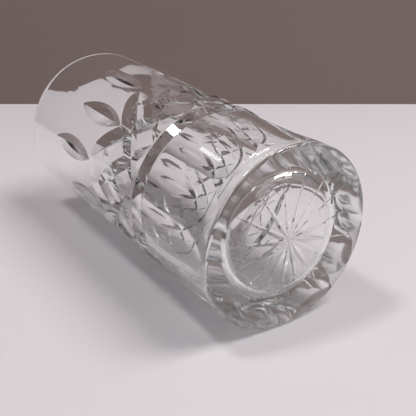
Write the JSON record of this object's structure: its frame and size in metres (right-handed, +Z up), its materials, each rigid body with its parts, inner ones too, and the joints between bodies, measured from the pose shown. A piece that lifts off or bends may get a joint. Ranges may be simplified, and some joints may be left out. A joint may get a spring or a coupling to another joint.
{
  "type": "tall cut-glass tumbler",
  "caption": "Tall clear cut-glass drinking tumbler with leaf and diamond cuts, twelve flats round its lower wall and a star-cut base.",
  "frame": {"origin": "centre of the underside, at the level of the resting ring", "axes": "+Z up the axis of the glass, out of its mouth; +X through the middle of one of the high leaf cuts"},
  "size_m": [0.0738, 0.0738, 0.152],
  "materials": {
    "clear_glass": "polished clear crystal"
  },
  "bodies": {
    "root": {"tumbler": "clear_glass"}
  },
  "joints": []
}
